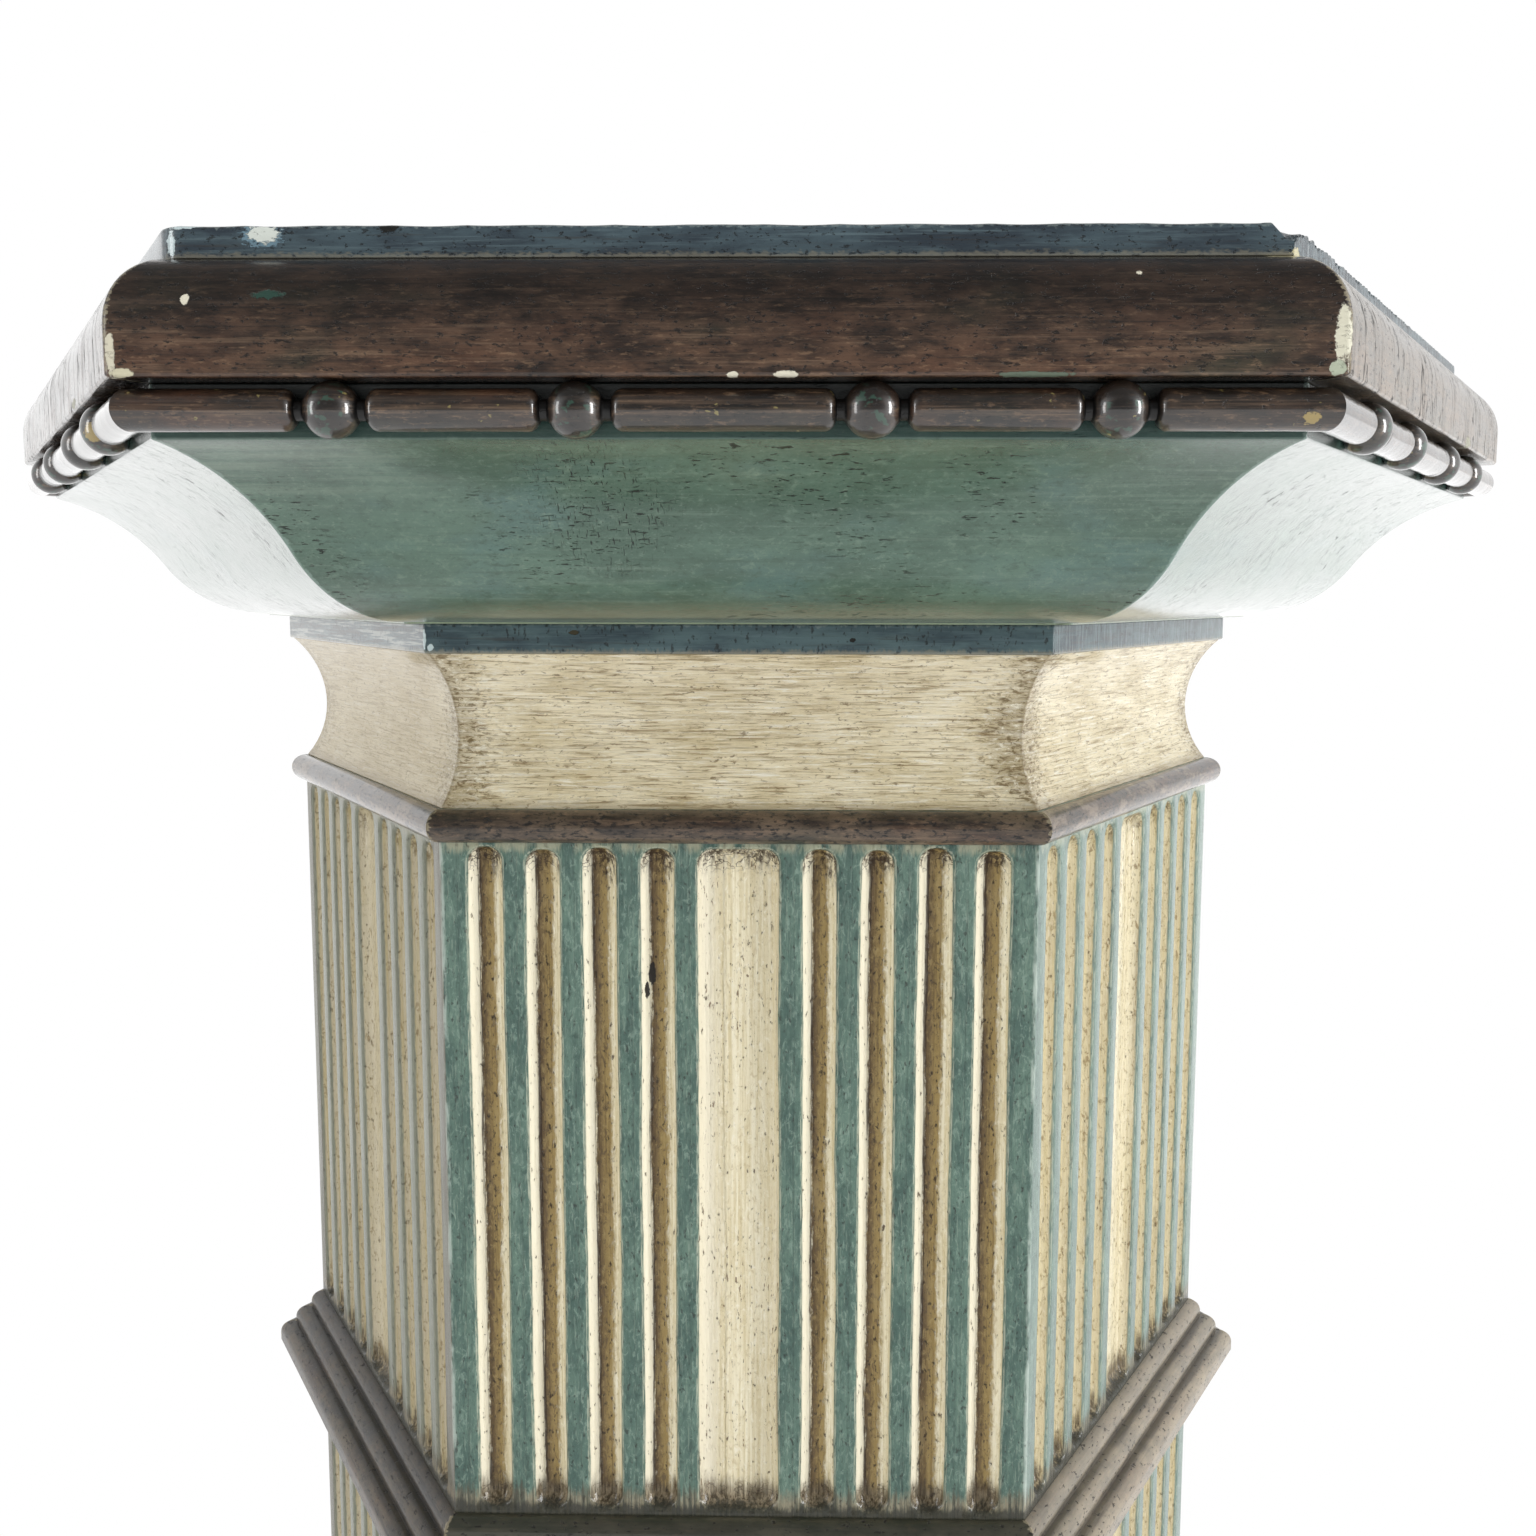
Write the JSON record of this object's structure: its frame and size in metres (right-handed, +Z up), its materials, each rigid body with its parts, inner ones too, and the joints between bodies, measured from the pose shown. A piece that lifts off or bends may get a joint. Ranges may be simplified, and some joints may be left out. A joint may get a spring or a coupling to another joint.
{
  "type": "hexagonal wooden column",
  "caption": "Hexagonal painted wooden column: fluted hollow shaft, stepped collar, plain plinth, and a stacked capital with cove, cyma, bead-and-reel rods and cushion board.",
  "frame": {"origin": "on the floor, at the column's axis", "axes": "+Z up along the column's axis; one of the six sides faces -Y"},
  "size_m": [0.4804, 0.4182, 1.1],
  "materials": {
    "blue_board": "varnished slate-blue paint, chipped at the edges",
    "brown_moulding": "varnished dark bronze-brown paint, rubbed and chipped",
    "green_cyma": "varnished grey-green paint with open pores",
    "cream_cove": "thick brushed cream paint with a brown glaze",
    "fluted_shaft": "green ribs and cream flutes with a brown glaze, varnished",
    "green_plinth": "varnished grey-green paint, scuffed",
    "bare_wood": "bare softwood"
  },
  "bodies": {
    "root": {"top_board": "blue_board", "cushion_board": "brown_moulding", "cyma_block": "green_cyma", "neck_board": "blue_board", "cove_block": "cream_cove", "head_block": "bare_wood", "foot_block": "bare_wood", "bead_and_reel_1": "brown_moulding", "bead_and_reel_2": "brown_moulding", "bead_and_reel_3": "brown_moulding", "bead_and_reel_4": "brown_moulding", "bead_and_reel_5": "brown_moulding", "bead_and_reel_6": "brown_moulding", "astragal_1": "brown_moulding", "astragal_2": "brown_moulding", "astragal_3": "brown_moulding", "astragal_4": "brown_moulding", "astragal_5": "brown_moulding", "astragal_6": "brown_moulding", "stave_1": "fluted_shaft", "stave_2": "fluted_shaft", "stave_3": "fluted_shaft", "stave_4": "fluted_shaft", "stave_5": "fluted_shaft", "stave_6": "fluted_shaft", "collar_1": "brown_moulding", "collar_2": "brown_moulding", "collar_3": "brown_moulding", "collar_4": "brown_moulding", "collar_5": "brown_moulding", "collar_6": "brown_moulding", "plinth_board_1": "green_plinth", "plinth_board_2": "green_plinth", "plinth_board_3": "green_plinth", "plinth_board_4": "green_plinth", "plinth_board_5": "green_plinth", "plinth_board_6": "green_plinth"}
  },
  "joints": []
}
